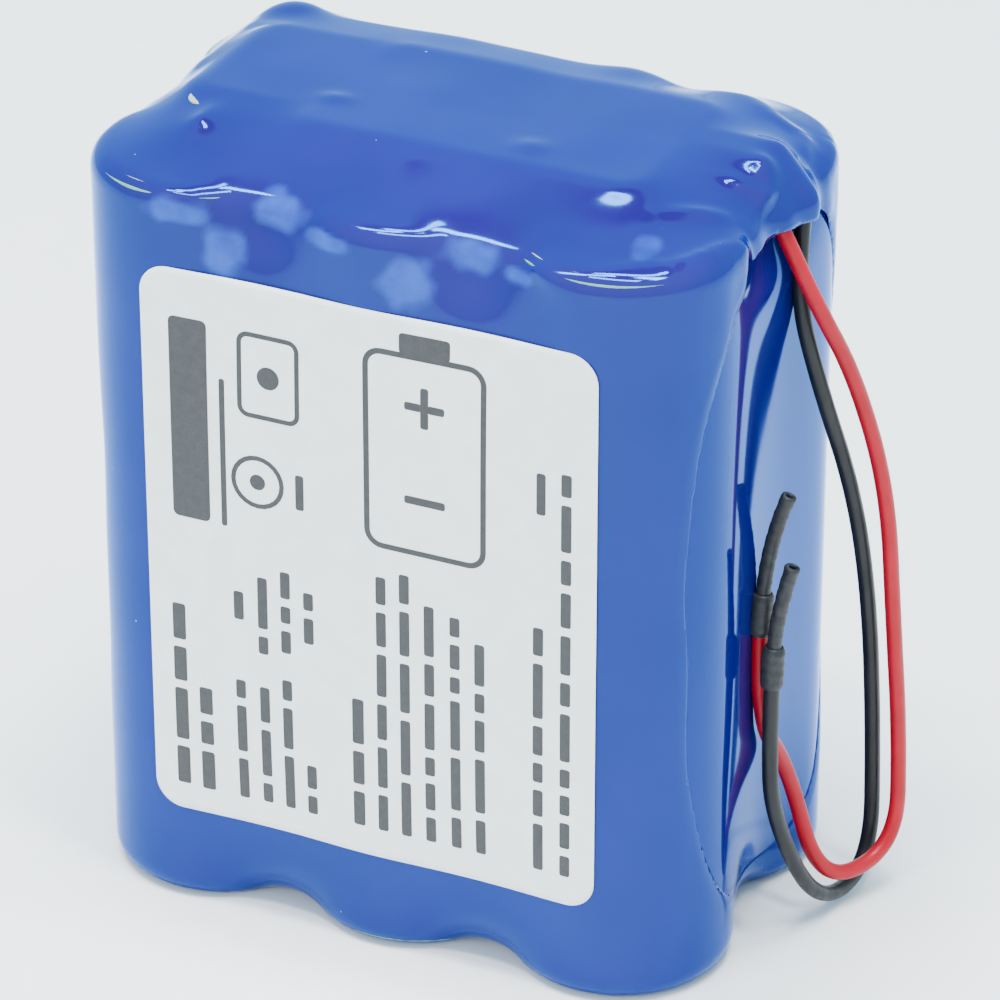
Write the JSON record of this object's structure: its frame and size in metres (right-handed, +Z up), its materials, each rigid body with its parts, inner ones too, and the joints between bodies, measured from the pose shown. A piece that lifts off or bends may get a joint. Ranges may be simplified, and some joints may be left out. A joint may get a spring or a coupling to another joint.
{
  "type": "lithium-ion battery pack",
  "caption": "Rechargeable pack of cylindrical cells in a block, wrapped in glossy blue shrink film, with a label and two flying leads",
  "frame": {"origin": "centre of the pack body at the level it stands on, leads left out", "axes": "+Z up along the cells, -Y out of the labelled face, +X to the side the leads leave from"},
  "size_m": [0.0646, 0.0377, 0.0696],
  "materials": {
    "nickel_steel": "satin",
    "washer_paper": "matt",
    "cell_wrap": "gloss",
    "gasket_plastic": "matt",
    "winding_foil": "matt",
    "nickel_strip": "satin",
    "fibre_sheet": "matt",
    "adhesive_tape": "matt",
    "foam_pad": "matt",
    "circuit_board": "satin",
    "chip_plastic": "matt",
    "resistor_body": "matt",
    "chip_ceramic": "satin",
    "solder": "bright",
    "wire_black": "satin",
    "wire_white": "satin",
    "wire_yellow": "satin",
    "wire_red": "satin",
    "inner_film": "gloss",
    "outer_film": "gloss",
    "label_paper": "matt",
    "lead_red": "satin",
    "lead_black": "satin",
    "shrink_tube": "matt",
    "copper_strands": "bright"
  },
  "bodies": {
    "root": {"black_end_collar": "shrink_tube", "black_end_tube": "shrink_tube", "black_lead": "lead_black", "black_lead_tail": "lead_black", "board_cover_sheet": "fibre_sheet", "board_foam_pad": "foam_pad", "bottom_insulation_sheet": "fibre_sheet", "cell_1_can": "nickel_steel", "cell_1_cap": "nickel_steel", "cell_1_washer": "washer_paper", "cell_1_wrap": "cell_wrap", "cell_2_can": "nickel_steel", "cell_2_cap": "nickel_steel", "cell_2_washer": "washer_paper", "cell_2_wrap": "cell_wrap", "cell_3_can": "nickel_steel", "cell_3_cap": "nickel_steel", "cell_3_washer": "washer_paper", "cell_3_wrap": "cell_wrap", "cell_4_can": "nickel_steel", "cell_4_cap": "nickel_steel", "cell_4_washer": "washer_paper", "cell_4_wrap": "cell_wrap", "cell_5_can": "nickel_steel", "cell_5_cap": "nickel_steel", "cell_5_washer": "washer_paper", "cell_5_wrap": "cell_wrap", "cell_6_can": "nickel_steel", "cell_6_cap": "nickel_steel", "cell_6_washer": "washer_paper", "cell_6_wrap": "cell_wrap", "cell_gaskets": "gasket_plastic", "cell_tape": "adhesive_tape", "cell_windings": "winding_foil", "chip_components": "chip_ceramic", "end_conductors": "copper_strands", "first_tap_wire": "wire_white", "inner_sleeve": "inner_film", "label": "label_paper", "lower_positive_strip": "nickel_strip", "lower_series_strip": "nickel_strip", "negative_link_wire": "wire_black", "outer_sleeve": "outer_film", "positive_riser_wire": "wire_red", "power_transistors": "chip_plastic", "protection_board": "circuit_board", "protection_controller": "chip_plastic", "red_end_collar": "shrink_tube", "red_end_tube": "shrink_tube", "red_lead": "lead_red", "red_lead_tail": "lead_red", "second_tap_wire": "wire_yellow", "sense_resistor": "resistor_body", "solder_joints": "solder", "top_insulation_sheet": "fibre_sheet", "upper_negative_strip": "nickel_strip", "upper_series_strip": "nickel_strip"}
  },
  "joints": []
}
